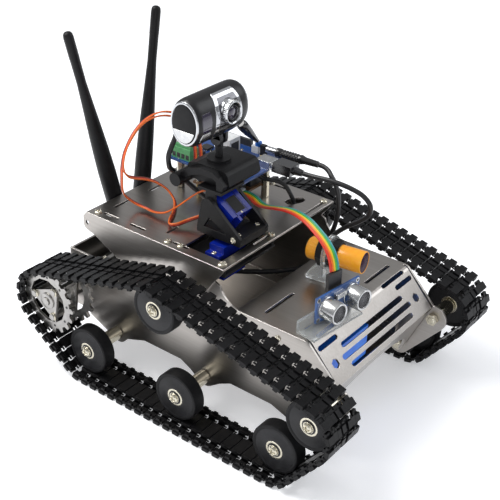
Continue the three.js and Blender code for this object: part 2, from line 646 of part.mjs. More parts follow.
const DC_ROUTE = [
  [57.98, -11.85, 139.07], [58.3, -15.4, 138.7], [57.4, -20, 137.4], [55, -24.4, 135.4],
  [53.4, -29, 131.4], [52, -32.6, 125.4], [50.9, -34.4, 117], [50, -34.2, 107], [49.2, -32.4, 98],
  [48.2, -29.6, 90], [47.4, -27.6, 82], [46.8, -27.6, 74], [45.4, -30, 66], [42.4, -36, 57.4],
  [37.4, -44.6, 51], [31, -50.8, 48.4], [25.6, -53, 48], [20.35, -53, 48],
];
const USB_ROUTE = [
  [39.55, -11.25, 138.87], [40, -15, 138.7], [40.4, -22, 139], [42, -33, 139.2], [44.4, -46, 137.4],
  [46.6, -56.4, 133.4], [47.6, -61.6, 127.6], [47.6, -61.4, 120.8], [46.8, -54.8, 113.8],
  [45.6, -46, 107.2], [44.6, -39, 100.6], [43.6, -33.4, 93.6], [42.6, -29.2, 86], [41.4, -26.4, 77.6],
  [37, -20, 69.6], [27, -6, 64.6], [14, 13, 62.4], [1, 32, 62], [-9, 48, 62], [-13.6, 58, 62],
  [-14, 65.6, 62],
];
const POWER_ROUTE = [
  [30.4, 20, 134.05], [30.4, 19.9, 131.6], [31.2, 17.4, 129.6], [33, 12.6, 129.2], [36.4, 7.6, 128.2],
  [39.4, 4, 125.4], [41.6, 1.1, 119.8], [43.6, -1, 113.4], [44.8, -2.2, 107], [44.8, -1.6, 98.6],
  [43.4, 2.6, 89.6], [39.6, 11, 80.4], [33.4, 23, 72], [25.4, 36, 65.8], [16.4, 47.6, 62.4],
  [9.2, 56, 61.6], [6.3, 61, 61.6], [6, 65.6, 61.6],
];
const SERVO_ROUTE_A = [
  [8.5, 60, 138.75], [8.5, 60, 143], [8.4, 60.6, 149.6], [7.8, 62.8, 157.4], [5, 66, 165.4],
  [-0.5, 69, 171.2], [-11, 71.4, 175.4], [-24, 72, 176.9], [-34, 72, 174.8], [-42.6, 72, 168.8],
  [-49, 72, 161.4], [-52.4, 72, 151.5], [-53, 72, 144], [-52.6, 72.6, 136.4], [-48.4, 75.2, 129],
  [-41.6, 77, 121.8], [-37, 74.4, 117], [-35.4, 67, 115.6], [-35.8, 58.7, 115.7], [-34, 51, 117.2],
  [-29.6, 45.6, 120.8], [-26.4, 38.6, 127.4], [-25.2, 32, 133.6], [-24.8, 26.2, 138],
  [-24.6, 20.4, 140.4], [-24.6, 17.05, 138.15],
];
const SERVO_ROUTE_B = [
  [8.5, 55, 138.75], [8.5, 55, 144], [8.2, 55.8, 152], [7.2, 58.6, 161.4], [2.6, 62.6, 170.6],
  [-6, 66.4, 177.2], [-17, 68.6, 180.6], [-29, 69.4, 180], [-39.6, 69.6, 175.6], [-47.8, 69.6, 168],
  [-53, 69.4, 159.4], [-54, 69.2, 151.6], [-50, 69.4, 145], [-41.4, 70.4, 140], [-30.4, 71.6, 134.8],
  [-20.4, 70.6, 128.6], [-13.8, 66.6, 121.6], [-14, 60.8, 116.6], [-19.2, 55, 115], [-28, 48.8, 114.8],
  [-37.4, 43.4, 114.8], [-41.8, 39.2, 115], [-40.4, 35.2, 115.8], [-34, 31.4, 117.4],
  [-29.6, 27, 119.6], [-27.6, 21.6, 122.4], [-27.2, 16, 125.2], [-27.2, 11.4, 130.15],
];
const RIBBON_ROUTE = [
  [14, 21.85, 123.4], [14, 17, 123.5], [12.8, 11, 123.1], [10.2, 5, 122.6], [7.2, -1, 123.6],
  [3.6, -9.4, 126.6], [0, -20, 130.8], [-3.6, -31, 134.4], [-7.6, -42, 136.4], [-11, -51.4, 136.2],
  [-14, -60, 134], [-17, -68.6, 130.6], [-19.2, -74.6, 126.4], [-20.6, -78.2, 121],
  [-21.2, -79.7, 115.5],
];
const CAMERA_ROUTE = [
  [-31, 31.3, 190.5], [-31.1, 34.2, 190.3], [-31.5, 37.6, 188], [-32.4, 39.6, 183], [-34.4, 40, 176.4],
  [-38.6, 40, 170.6], [-41.2, 40.2, 165], [-40.2, 41, 159.4], [-36.6, 43.2, 154.2], [-31, 45.4, 149.4],
  [-25.4, 45.8, 143.6], [-20, 42.4, 137.4], [-16.6, 35.6, 131.2], [-15.2, 28.4, 127.4],
  [-15, 22.4, 126.4], [-15, 17.4, 124.4], [-15, 16, 121.6], [-15, 16, 119.2],
];
add('dc_lead', lead(DC_ROUTE, 1.75), blackLead);
add('usb_lead', lead(USB_ROUTE, 1.75), blackLead);
add('power_lead', lead(POWER_ROUTE, 1.6), blackLead);
add('servo_lead_a', lead(SERVO_ROUTE_A, 1.2), orangeLead);
add('servo_lead_b', lead(SERVO_ROUTE_B, 1.4), orangeLead);
add('sensor_ribbon', lead(RIBBON_ROUTE, 2.2), ribbonLead);
add('camera_lead', lead(CAMERA_ROUTE, 1.75), blackLead);

export default group;
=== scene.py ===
import math

import bmesh
import bpy
from mathutils import Matrix, Vector


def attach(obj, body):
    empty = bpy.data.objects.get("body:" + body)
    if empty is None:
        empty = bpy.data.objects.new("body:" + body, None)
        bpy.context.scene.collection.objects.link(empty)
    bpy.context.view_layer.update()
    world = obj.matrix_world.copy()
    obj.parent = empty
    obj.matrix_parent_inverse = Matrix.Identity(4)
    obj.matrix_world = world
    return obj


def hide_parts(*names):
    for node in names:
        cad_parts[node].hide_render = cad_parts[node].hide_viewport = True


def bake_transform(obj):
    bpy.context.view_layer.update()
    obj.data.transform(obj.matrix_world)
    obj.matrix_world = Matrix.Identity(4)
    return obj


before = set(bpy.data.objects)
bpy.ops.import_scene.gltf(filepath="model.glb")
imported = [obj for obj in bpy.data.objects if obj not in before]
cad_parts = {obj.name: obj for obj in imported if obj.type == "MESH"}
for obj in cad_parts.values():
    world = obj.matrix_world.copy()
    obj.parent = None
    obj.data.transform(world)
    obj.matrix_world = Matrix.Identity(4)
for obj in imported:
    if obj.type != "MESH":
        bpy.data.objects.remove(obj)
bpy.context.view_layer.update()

# The looks of the tracked robot chassis. Shapes are given in millimetres and scaled to metres when made.
# The front faces -Y, and "right" is the side at -X.
MM = 0.001
SIDES = (("right", -1), ("left", 1))
IDLERS = {
    "rear_low": (75.5, 21.6), "middle_low": (-6.5, 21.6), "front_low": (-88.5, 21.6),
    "front_high": (-112.9, 52.6), "top": (10.6, 83.0),
}
WHEEL_RADIUS, WHEEL_INNER, WHEEL_OUTER = 17.5, 81, 91  # both faces from the middle plane
SPROCKET_Y, SPROCKET_Z, SPROCKET_FACE = 108.5, 52.1, 95
BELT_ON_WHEELS, BELT_ON_SPROCKET = 17.8, 22.2  # radii of the belt's inner face
LINKS = 70
CAMERA = (-25, 18.5, 196.2)
CAMERA_HALF_LENGTH, CAMERA_HALF_DEPTH, CAMERA_HALF_HEIGHT = 25, 12.5, 16.25
LENS = (-21, 2.1, 199.2)
STEM_X, STEM_Y, STEM_Z = -16, 18.5, 176
PAN_X, PAN_Y = -23, 0
TILT_Y, TILT_Z, SERVO_SLANT = 10, 137, 33.7
ANTENNA_Y, ANTENNA_Z = 106.5, 76
SONAR, SONAR_YAW = (-23.4, -85.2, 97.2), -7.1
INFRARED, INFRARED_YAW = (12, -60, 104.9), 8.1
DECK_TOP, SHELL_SIDE = 112.8, 60.2
SCREW_SEAT, STANDOFF_FOOT = DECK_TOP - 0.05, DECK_TOP + 0.3
BOARD = (5.2, 15, 136)
ANTENNAS = (("right", -18.9, -14.6, 168), ("left", -3.2, 9, 163))


# ---- Camera ----
def look():
    """A long lens above the front right corner."""
    data = bpy.data.cameras.new("camera")
    data.lens, data.sensor_width = 73.92, 36
    data.clip_start, data.clip_end = 0.05, 20
    camera = bpy.data.objects.new("camera", data)
    right, up, ahead = (0.6152, -0.7882, 0.0204), (0.3839, 0.3220, 0.8656), (0.6888, 0.5244, -0.5006)
    axes = Matrix((right, up, [-a for a in ahead])).transposed().to_4x4()
    camera.matrix_world = Matrix.Translation((-0.49084, -0.37052, 0.44702)) @ axes
    bpy.context.scene.collection.objects.link(camera)
    bpy.context.scene.camera = camera


look()


# ---- Finishes ----
def finish(name, dark, light, rough, metal=0.0, grain=500, stretch=(1, 1, 1), bump=0.12, spread=0.08,
           coat=0.0, edge=0.3, edge_highlight_and_wear=0.0, clear=0.0, specular=0.5):
    """A procedural surface: mottled colour, uneven gloss, fine bump, softened edges, and a lighter colour
    along the edges that is painted highlight, partly rubbed wear.
    """
    made = bpy.data.materials.new(name)
    made.use_nodes = True
    nodes, links = made.node_tree.nodes, made.node_tree.links
    shader = nodes["Principled BSDF"]
    shader.inputs["Metallic"].default_value = metal
    shader.inputs["Coat Weight"].default_value = coat
    shader.inputs["Coat Roughness"].default_value = 0.08
    shader.inputs["Transmission Weight"].default_value = clear
    shader.inputs["Specular IOR Level"].default_value = specular
    place, mapping = nodes.new("ShaderNodeTexCoord"), nodes.new("ShaderNodeMapping")
    mapping.inputs["Scale"].default_value = stretch
    links.new(place.outputs["Object"], mapping.inputs["Vector"])
    fine, broad = nodes.new("ShaderNodeTexNoise"), nodes.new("ShaderNodeTexNoise")
    fine.inputs["Scale"].default_value, broad.inputs["Scale"].default_value = grain, grain / 14
    for noise in (fine, broad):
        noise.inputs["Detail"].default_value = 4
        links.new(mapping.outputs["Vector"], noise.inputs["Vector"])
    both = nodes.new("ShaderNodeMath")
    both.operation = "MULTIPLY_ADD"
    both.inputs[1].default_value = 0.45
    links.new(fine.outputs["Fac"], both.inputs[0])
    half = nodes.new("ShaderNodeMath")
    half.operation = "MULTIPLY"
    half.inputs[1].default_value = 0.55
    links.new(broad.outputs["Fac"], half.inputs[0])
    links.new(half.outputs[0], both.inputs[2])
    ramp = nodes.new("ShaderNodeValToRGB")
    ramp.color_ramp.elements[0].position, ramp.color_ramp.elements[1].position = 0.36, 0.64
    ramp.color_ramp.elements[0].color = (*dark, 1)
    ramp.color_ramp.elements[1].color = (*light, 1)
    links.new(both.outputs[0], ramp.inputs["Fac"])
    colour = ramp.outputs["Color"]
    gloss = nodes.new("ShaderNodeMapRange")
    gloss.inputs["To Min"].default_value = max(0.02, rough - spread)
    gloss.inputs["To Max"].default_value = min(1, rough + spread)
    links.new(both.outputs[0], gloss.inputs["Value"])
    links.new(gloss.outputs["Result"], shader.inputs["Roughness"])
    relief = nodes.new("ShaderNodeBump")
    relief.inputs["Strength"].default_value = bump
    relief.inputs["Distance"].default_value = 0.0003
    links.new(fine.outputs["Fac"], relief.inputs["Height"])
    if edge:
        soft = nodes.new("ShaderNodeBevel")
        soft.samples = 4
        soft.inputs["Radius"].default_value = edge * MM
        links.new(soft.outputs["Normal"], relief.inputs["Normal"])
    # Lighter colour along the edges: painted highlight, partly rubbed wear.
    if edge and edge_highlight_and_wear:
        bare = nodes.new("ShaderNodeNewGeometry")
        facing = nodes.new("ShaderNodeVectorMath")
        facing.operation = "DOT_PRODUCT"
        links.new(soft.outputs["Normal"], facing.inputs[0])
        links.new(bare.outputs["Normal"], facing.inputs[1])
        highlight_and_wear_mask = nodes.new("ShaderNodeMapRange")
        highlight_and_wear_mask.inputs["From Min"].default_value, highlight_and_wear_mask.inputs["From Max"].default_value = 1.0, 0.86
        highlight_and_wear_mask.inputs["To Max"].default_value = edge_highlight_and_wear
        links.new(facing.outputs["Value"], highlight_and_wear_mask.inputs["Value"])
        mix = nodes.new("ShaderNodeMixRGB")
        mix.inputs["Color2"].default_value = (*[min(1, 1.9 * c + 0.06) for c in light], 1)
        links.new(highlight_and_wear_mask.outputs["Result"], mix.inputs["Fac"])
        links.new(colour, mix.inputs["Color1"])
        colour = mix.outputs["Color"]
    links.new(colour, shader.inputs["Base Color"])
    links.new(relief.outputs["Normal"], shader.inputs["Normal"])
    return made


BRUSHED = (40, 1.2, 40)
# The edge setting in these calls lightens edges with painted highlight, partly rubbed wear.
stainless = finish("stainless", (0.39, 0.365, 0.34), (0.47, 0.445, 0.42), 0.30, 1, 22, BRUSHED, 0.012, 0.03,
                   edge=0.5, edge_highlight_and_wear=0.7)
bright_steel = finish("bright_steel", (0.34, 0.33, 0.32), (0.46, 0.45, 0.43), 0.30, 1, 260, bump=0.06,
                      edge_highlight_and_wear=0.5)
nickel = finish("nickel", (0.58, 0.54, 0.43), (0.74, 0.70, 0.58), 0.24, 1, 300, bump=0.04, edge_highlight_and_wear=0.3)
brass = finish("brass", (0.52, 0.38, 0.14), (0.70, 0.52, 0.22), 0.26, 1, 300, bump=0.04)
chrome = finish("chrome", (0.52, 0.53, 0.55), (0.68, 0.69, 0.71), 0.09, 1, 200, bump=0.02, spread=0.04)
silver = finish("silver", (0.50, 0.51, 0.52), (0.66, 0.66, 0.66), 0.22, 1, 300, bump=0.03)
track_black = finish("track_black", (0.002, 0.002, 0.0025), (0.007, 0.007, 0.008), 0.36, 0, 700, bump=0.2,
                     spread=0.12, edge=0, specular=0.18)
tread_black = finish("tread_black", (0.005, 0.005, 0.006), (0.011, 0.011, 0.012), 0.5, 0, 600, bump=0.3,
                     specular=0.2)
wheel_grey = finish("wheel_grey", (0.012, 0.012, 0.013), (0.022, 0.022, 0.025), 0.45, 0, 700, bump=0.2,
                    specular=0.25)
matt_black = finish("matt_black", (0.005, 0.005, 0.006), (0.012, 0.012, 0.013), 0.42, 0, 900, bump=0.2,
                    spread=0.1, edge=0.35, edge_highlight_and_wear=0.08, specular=0.2)
gloss_black = finish("gloss_black", (0.006, 0.006, 0.007), (0.011, 0.011, 0.013), 0.16, 0, 500, bump=0.05,
                     coat=0.5)
camera_black = finish("camera_black", (0.008, 0.008, 0.009), (0.014, 0.014, 0.016), 0.36, 0, 900, bump=0.2,
                      specular=0.35)
smoke = finish("smoke", (0.10, 0.10, 0.11), (0.20, 0.20, 0.21), 0.12, 0.9, 200, bump=0.02)
servo_blue = finish("servo_blue", (0.003, 0.010, 0.22), (0.006, 0.030, 0.42), 0.24, 0, 120, bump=0.04,
                    coat=0.1, clear=0.25, specular=0.3)
wrap_blue = finish("wrap_blue", (0.008, 0.14, 0.80), (0.02, 0.24, 1.0), 0.3, 0, 90, bump=0.2)
board_blue = finish("board_blue", (0.006, 0.035, 0.16), (0.010, 0.070, 0.28), 0.32, 0, 420, bump=0.15,
                    coat=0.3)
sonar_blue = finish("sonar_blue", (0.018, 0.07, 0.24), (0.035, 0.12, 0.36), 0.3, 0, 420, bump=0.15, coat=0.3)
board_brown = finish("board_brown", (0.10, 0.05, 0.02), (0.22, 0.12, 0.06), 0.4, 0, 300, bump=0.2)
acrylic = finish("acrylic", (0.86, 0.90, 0.91), (0.95, 0.97, 0.97), 0.06, 0, 200, bump=0.02, spread=0.03,
                 clear=0.85)
orange = finish("orange", (1.0, 0.36, 0.010), (1.0, 0.45, 0.018), 0.32, 0, 400, bump=0.08, coat=0.3)
terminal_green = finish("terminal_green", (0.05, 0.24, 0.08), (0.10, 0.36, 0.14), 0.4, 0, 400)
socket_white = finish("socket_white", (0.62, 0.63, 0.64), (0.78, 0.79, 0.80), 0.4, 0, 400, bump=0.1)
knob_blue = finish("knob_blue", (0.01, 0.10, 0.42), (0.02, 0.16, 0.60), 0.35, 0, 400)
chip_black = finish("chip_black", (0.015, 0.015, 0.016), (0.028, 0.028, 0.03), 0.5, 0, 900, bump=0.3)
lens_glass = finish("lens_glass", (0.006, 0.003, 0.016), (0.018, 0.008, 0.040), 0.05, 0, 60, bump=0.0,
                    coat=1.0)
sensor_purple = finish("sensor_purple", (0.02, 0.004, 0.02), (0.05, 0.012, 0.045), 0.2, 0, 80, specular=0.25)
mesh_dark = finish("mesh_dark", (0.006, 0.006, 0.007), (0.03, 0.03, 0.032), 0.6, 0.2, 1800, bump=0.9)
lead_black = finish("lead_black", (0.008, 0.008, 0.009), (0.016, 0.016, 0.018), 0.4, 0, 600, bump=0.15,
                    edge=0)
WIRES = {name: finish("wire_" + name, [0.8 * c for c in colour], colour, 0.38, 0, 500, bump=0.1, edge=0)
         for name, colour in {
             "brown": (0.16, 0.04, 0.015), "red": (0.70, 0.035, 0.015), "orange": (0.90, 0.17, 0.015),
             "yellow": (0.88, 0.62, 0.02), "green": (0.06, 0.45, 0.08), "teal": (0.04, 0.33, 0.38)}.items()}


# ---- Making pieces ----
def round_point(radius, i, sides):
    """Point i of a regular outline round the origin."""
    angle = 2 * math.pi * i / sides
    return radius * math.cos(angle), radius * math.sin(angle)


def polygon(radius, sides):
    return [round_point(radius, i, sides) for i in range(sides)]


class Piece:
    """Closed shapes in millimetres, gathered into one object."""

    def __init__(self, name):
        self.name, self.bm, self.finishes = name, bmesh.new(), []

    def add(self, corners, faces, surface, at=None):
        if surface not in self.finishes:
            self.finishes.append(surface)
        index = self.finishes.index(surface)
        made = [self.bm.verts.new(at @ Vector(c) if at else Vector(c)) for c in corners]
        for face in faces:
            self.bm.faces.new([made[i] for i in face]).material_index = index

    def block(self, x0, x1, y0, y1, z0, z1, surface, at=None):
        corners = [(x, y, z) for x in (x0, x1) for y in (y0, y1) for z in (z0, z1)]
        faces = [(0, 1, 3, 2), (4, 6, 7, 5), (0, 4, 5, 1), (2, 3, 7, 6), (0, 2, 6, 4), (1, 5, 7, 3)]
        self.add(corners, faces, surface, at)

    def loft(self, sections, surface, at=None):
        """Skins sections of equally many points, and closes both ends."""
        n = len(sections[0])
        corners = [c for section in sections for c in section]
        faces = [tuple(range(n)), tuple(range(len(corners) - n, len(corners)))]
        for k in range(len(sections) - 1):
            faces += [(k * n + i, k * n + (i + 1) % n, (k + 1) * n + (i + 1) % n, (k + 1) * n + i)
                      for i in range(n)]
        self.add(corners, faces, surface, at)

    def prism(self, outline, low, high, surface, at=None):
        self.loft([[(u, v, w) for u, v in outline] for w in (low, high)], surface, at)

    def turned(self, profile, surface, at=None, sides=40):
        """Turns [radius, height] points about +Z. A profile off the axis closes into a ring."""
        corners, rows = [], []
        for radius, height in profile:
            count = 1 if radius < 1e-6 else sides
            rows.append(list(range(len(corners), len(corners) + count)))
            corners += [(*round_point(radius, i, sides), height) for i in range(count)]
        if len(rows[0]) > 1:
            rows.append(rows[0])
        faces = []
        for low, high in zip(rows, rows[1:]):
            for i in range(sides):
                ring = [low[i % len(low)], low[(i + 1) % sides % len(low)],
                        high[(i + 1) % sides % len(high)], high[i % len(high)]]
                ring = list(dict.fromkeys(ring))
                if len(ring) > 2:
                    faces.append(ring)
        self.add(corners, faces, surface, at)

    def screw(self, radius, height, surface, at, rings=8, sides=32):
        """A domed head with a cross recess, standing on z 0."""
        corners = [(0, 0, 0.45 * height)]
        for ring in range(1, rings + 1):
            r = radius * ring / rings
            for i in range(sides):
                u, v = round_point(r, i, sides)
                top = height * (1 - 0.5 * (r / radius) ** 3)
                recess = min(abs(u), abs(v)) < 0.17 * radius and r < 0.66 * radius
                corners.append((u, v, top - 0.5 * height * recess))
        corners += [(c[0], c[1], 0) for c in corners[-sides:]]
        faces = [(0, 1 + i, 1 + (i + 1) % sides) for i in range(sides)]
        for ring in range(rings):
            low, high = 1 + ring * sides, 1 + (ring + 1) * sides
            faces += [(low + i, low + (i + 1) % sides, high + (i + 1) % sides, high + i)
                      for i in range(sides)]
        faces.append(tuple(range(len(corners) - sides, len(corners))))
        self.add(corners, faces, surface, at)

    def done(self, body=None, bevel=0.2, replaces=(), segments=2):
        bmesh.ops.recalc_face_normals(self.bm, faces=self.bm.faces)
        bmesh.ops.scale(self.bm, vec=(MM,) * 3, verts=self.bm.verts)
        mesh = bpy.data.meshes.new(self.name)
        self.bm.to_mesh(mesh)
        self.bm.free()
        for surface in self.finishes:
            mesh.materials.append(surface)
        mesh.polygons.foreach_set("use_smooth", [True] * len(mesh.polygons))
        mesh.set_sharp_from_angle(angle=math.radians(34))
        made = bpy.data.objects.new(self.name, mesh)
        bpy.context.scene.collection.objects.link(made)
        if bevel:
            rounding = made.modifiers.new("edges", "BEVEL")
            rounding.width, rounding.segments = bevel * MM, segments
            rounding.limit_method, rounding.angle_limit = "ANGLE", math.radians(34)
            rounding.harden_normals = True
        if body:
            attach(made, body)
        if replaces:
            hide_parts(*replaces)
        return made


def cut_away(made, body, x0, x1, y0, y1, z0, z1, at):
    """Cuts a block out of a piece, and keeps the result as its mesh."""
    cutter = Piece("cutter")
    cutter.block(x0, x1, y0, y1, z0, z1, made.data.materials[0], at)
    tool = cutter.done(bevel=0)
    knife = made.modifiers.new("cut", "BOOLEAN")
    knife.operation, knife.solver, knife.object = "DIFFERENCE", "EXACT", tool
    bpy.context.view_layer.update()
    result = bpy.data.meshes.new_from_object(made.evaluated_get(bpy.context.evaluated_depsgraph_get()))
    made.modifiers.clear()
    made.data = result
    bpy.data.objects.remove(tool)
    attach(made, body)


def move(x, y, z):
    return Matrix.Translation((x, y, z))


def turn(angle, axis):
    return Matrix.Rotation(math.radians(angle), 4, axis)


FRONTWARD = turn(90, "X")  # carries +Z to -Y


def on_axle(side, y, z):
    """Carries a shape turned about +Z, whose height is the distance from the middle plane, to an axle."""
    return Matrix(((0, 0, side, 0), (1, 0, 0, y), (0, 1, 0, z), (0, 0, 0, 1)))


# ---- Leads ----
ROUTES = {
    "dc_lead": [
        (57.98, -11.85, 139.07), (58.3, -15.4, 138.7), (57.4, -20, 137.4), (55, -24.4, 135.4),
        (53.4, -29, 131.4), (52, -32.6, 125.4), (50.9, -34.4, 117), (50, -34.2, 107), (49.2, -32.4, 98),
        (48.2, -29.6, 90), (47.4, -27.6, 82), (46.8, -27.6, 74), (45.4, -30, 66), (42.4, -36, 57.4),
        (37.4, -44.6, 51), (31, -50.8, 48.4), (25.6, -53, 48), (20.35, -53, 48)],
    "usb_lead": [
        (39.55, -11.25, 138.87), (40, -15, 138.7), (40.4, -22, 139), (42, -33, 139.2), (44.4, -46, 137.4),
        (46.6, -56.4, 133.4), (47.6, -61.6, 127.6), (47.6, -61.4, 120.8), (46.8, -54.8, 113.8),
        (45.6, -46, 107.2), (44.6, -39, 100.6), (43.6, -33.4, 93.6), (42.6, -29.2, 86), (41.4, -26.4, 77.6),
        (37, -20, 69.6), (27, -6, 64.6), (14, 13, 62.4), (1, 32, 62), (-9, 48, 62), (-13.6, 58, 62),
        (-14, 65.6, 62)],
    "power_lead": [
        (30.4, 20, 134.05), (30.4, 19.9, 131.6), (31.2, 17.4, 129.6), (33, 12.6, 129.2), (36.4, 7.6, 128.2),
        (39.4, 4, 125.4), (41.6, 1.1, 119.8), (43.6, -1, 113.4), (44.8, -2.2, 107), (44.8, -1.6, 98.6),
        (43.4, 2.6, 89.6), (39.6, 11, 80.4), (33.4, 23, 72), (25.4, 36, 65.8), (16.4, 47.6, 62.4),
        (9.2, 56, 61.6), (6.3, 61, 61.6), (6, 65.6, 61.6)],
    "servo_lead_a": [
        (8.5, 60, 138.75), (8.5, 60, 143), (8.4, 60.6, 149.6), (7.8, 62.8, 157.4), (5, 66, 165.4),
        (-0.5, 69, 171.2), (-11, 71.4, 175.4), (-24, 72, 176.9), (-34, 72, 174.8), (-42.6, 72, 168.8),
        (-49, 72, 161.4), (-52.4, 72, 151.5), (-53, 72, 144), (-52.6, 72.6, 136.4), (-48.4, 75.2, 129),
        (-41.6, 77, 121.8), (-37, 74.4, 117), (-35.4, 67, 115.6), (-35.8, 58.7, 115.7), (-34, 51, 117.2),
        (-29.6, 45.6, 120.8), (-26.4, 38.6, 127.4), (-25.2, 32, 133.6), (-24.8, 26.2, 138),
        (-24.6, 20.4, 140.4), (-24.6, 17.05, 138.15)],
    "servo_lead_b": [
        (8.5, 55, 138.75), (8.5, 55, 144), (8.2, 55.8, 152), (7.2, 58.6, 161.4), (2.6, 62.6, 170.6),
        (-6, 66.4, 177.2), (-17, 68.6, 180.6), (-29, 69.4, 180), (-39.6, 69.6, 175.6), (-47.8, 69.6, 168),
        (-53, 69.4, 159.4), (-54, 69.2, 151.6), (-50, 69.4, 145), (-41.4, 70.4, 140), (-30.4, 71.6, 134.8),
        (-20.4, 70.6, 128.6), (-13.8, 66.6, 121.6), (-14, 60.8, 116.6), (-19.2, 55, 115), (-28, 48.8, 114.8),
        (-37.4, 43.4, 114.8), (-41.8, 39.2, 115), (-40.4, 35.2, 115.8), (-34, 31.4, 117.4),
        (-29.6, 27, 119.6), (-27.6, 21.6, 122.4), (-27.2, 16, 125.2), (-27.2, 11.4, 130.15)],
    "sensor_ribbon": [
        (14, 21.85, 123.4), (14, 17, 123.5), (12.8, 11, 123.1), (10.2, 5, 122.6), (7.2, -1, 123.6),
        (3.6, -9.4, 126.6), (0, -20, 130.8), (-3.6, -31, 134.4), (-7.6, -42, 136.4), (-11, -51.4, 136.2),
        (-14, -60, 134), (-17, -68.6, 130.6), (-19.2, -74.6, 126.4), (-20.6, -78.2, 121),
        (-21.2, -79.7, 115.5)],
    "camera_lead": [
        (-31, 31.3, 190.5), (-31.1, 34.2, 190.3), (-31.5, 37.6, 188), (-32.4, 39.6, 183), (-34.4, 40, 176.4),
        (-38.6, 40, 170.6), (-41.2, 40.2, 165), (-40.2, 41, 159.4), (-36.6, 43.2, 154.2), (-31, 45.4, 149.4),
        (-25.4, 45.8, 143.6), (-20, 42.4, 137.4), (-16.6, 35.6, 131.2), (-15.2, 28.4, 127.4),
        (-15, 22.4, 126.4), (-15, 17.4, 124.4), (-15, 16, 121.6), (-15, 16, 119.2)],
}


def smooth_line(route, steps=6):
    """A centripetal Catmull-Rom line through the route, as the part has it."""
    points = [Vector(p) for p in route]
    points = [2 * points[0] - points[1], *points, 2 * points[-1] - points[-2]]
    line = []
    for p0, p1, p2, p3 in zip(points, points[1:], points[2:], points[3:]):
        d0, d1, d2 = [max((b - a).length, 1e-6) ** 0.5 for a, b in ((p0, p1), (p1, p2), (p2, p3))]
        out = ((p1 - p0) / d0 - (p2 - p0) / (d0 + d1) + (p2 - p1) / d1) * d1
        into = ((p2 - p1) / d1 - (p3 - p1) / (d1 + d2) + (p3 - p2) / d2) * d1
        for i in range(steps):
            t = i / steps
            line.append(p1 + out * t + (3 * (p2 - p1) - 2 * out - into) * t * t
                        + (2 * (p1 - p2) + out + into) * t ** 3)
    return [*line, points[-2]]


def lead(node, wires, across, sides=10):
    """Round wires side by side along a route. Each wire is (offset, radius, finish)."""
    line = smooth_line(ROUTES[node])
    piece = Piece(node + "_wires" if len(wires) > 1 else node + "_sheath")
    side, frames = Vector(across), []
    for i, point in enumerate(line):
        ahead = (line[min(i + 1, len(line) - 1)] - line[max(i - 1, 0)]).normalized()
        side = (side - side.dot(ahead) * ahead).normalized()
        frames.append((point, side, ahead.cross(side)))
    for offset, radius, surface in wires:
        piece.loft([[p + s * (offset + radius * math.cos(2 * math.pi * i / sides))
                     + n * radius * math.sin(2 * math.pi * i / sides) for i in range(sides)]
                    for p, s, n in frames], surface)
    made = piece.done(bevel=0, replaces=[node])
    length = sum((b - a).length for a, b in zip(line, line[1:])) * MM
    return made, [tuple(p * MM) for p in line], length


def flat(colours, pitch, radius):
    """Coloured wires side by side, as lead() takes them."""
    middle = (len(colours) - 1) / 2
    return [((i - middle) * pitch, radius, WIRES[c]) for i, c in enumerate(colours)]


def plugs():
    """The two plugs that stand on the board's sockets, and the tapered boot behind the camera."""
    made = {}
    for name, start, end in (("dc_plug", (50.8, 29.1, 141.5), (57.9, -11.4, 139.1)),
                             ("usb_plug", (36.6, 12.4, 140.5), (39.5, -10.8, 138.9)),
                             ("boot", (50.3, 37.4, 145.8), (31.5, 38.2, 165.3))):
        heading = (Vector(end) - Vector(start)).normalized()
        at = move(*start) @ Vector((0, 0, 1)).rotation_difference(heading).to_matrix().to_4x4()
        piece = Piece(name + "_moulding")
        if name == "dc_plug":
            ribs = [p for i in range(7) for p in ((3.5, 12 + 2.1 * i), (3.0, 13.1 + 2.1 * i))]
            piece.turned([(0, 8), (3.4, 8), (3.6, 9.4), *ribs, (3.5, 28), (2.6, 31), (2.3, 41.2), (0, 41.2)],
                         gloss_black, at)
            piece.turned([(0, 0), (2.7, 0), (2.7, 8.2), (0, 8.2)], chrome, at)
        elif name == "usb_plug":
            piece.block(-5.6, 5.6, -2, 2, 0, 2.6, silver, at)
            piece.block(-6.8, 6.8, -3.6, 3.6, 2.4, 17, gloss_black, at)
            piece.turned([(0, 16.5), (3.1, 16.5), (2.4, 23.4), (0, 23.4)], gloss_black, at)
        else:
            piece.turned([(0, 0), (1.6, 0), (2.6, 8), (3.4, 14), (4, 22), (3.9, 25), (3, 27), (0, 27.6)],
                         gloss_black, at)
        made[name] = piece.done("chassis", 0.3, [name])
    return made


def leads():
    ends = plugs()
    black, servo = [(0, 1.75, lead_black)], flat(("orange", "red", "brown"), 1.1, 0.58)
    ribbon = flat(("red", "orange", "yellow", "green", "teal"), 1.5, 0.78)
    kinds = {  # wires, slot, direction across the wires, width over all, stiffness
        "dc_lead": (black, "black_lead", (1, 0, 0), 3.5, "medium"),
        "usb_lead": (black, "black_lead", (1, 0, 0), 3.5, "medium"),
        "power_lead": ([(0, 1.6, lead_black)], "black_lead", (1, 0, 0), 3.2, "medium"),
        "camera_lead": (black, "black_lead", (1, 0, 0), 3.5, "limp"),
        "servo_lead_a": (servo, "orange_lead", (0, 1, 0), 3.4, "limp"),
        "servo_lead_b": (servo, "orange_lead", (0, 1, 0), 3.4, "limp"),
        "sensor_ribbon": (ribbon, "ribbon_lead", (1, 0, 0), 7.6, "limp"),
    }
    for name, (wires, slot, across, width, stiffness) in kinds.items():
        piece, path, length = lead(name, wires, across)
        if name.startswith("servo"):
            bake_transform(piece)
        elif name == "camera_lead":
            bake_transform(piece)
        else:
            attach(piece, "chassis")


leads()


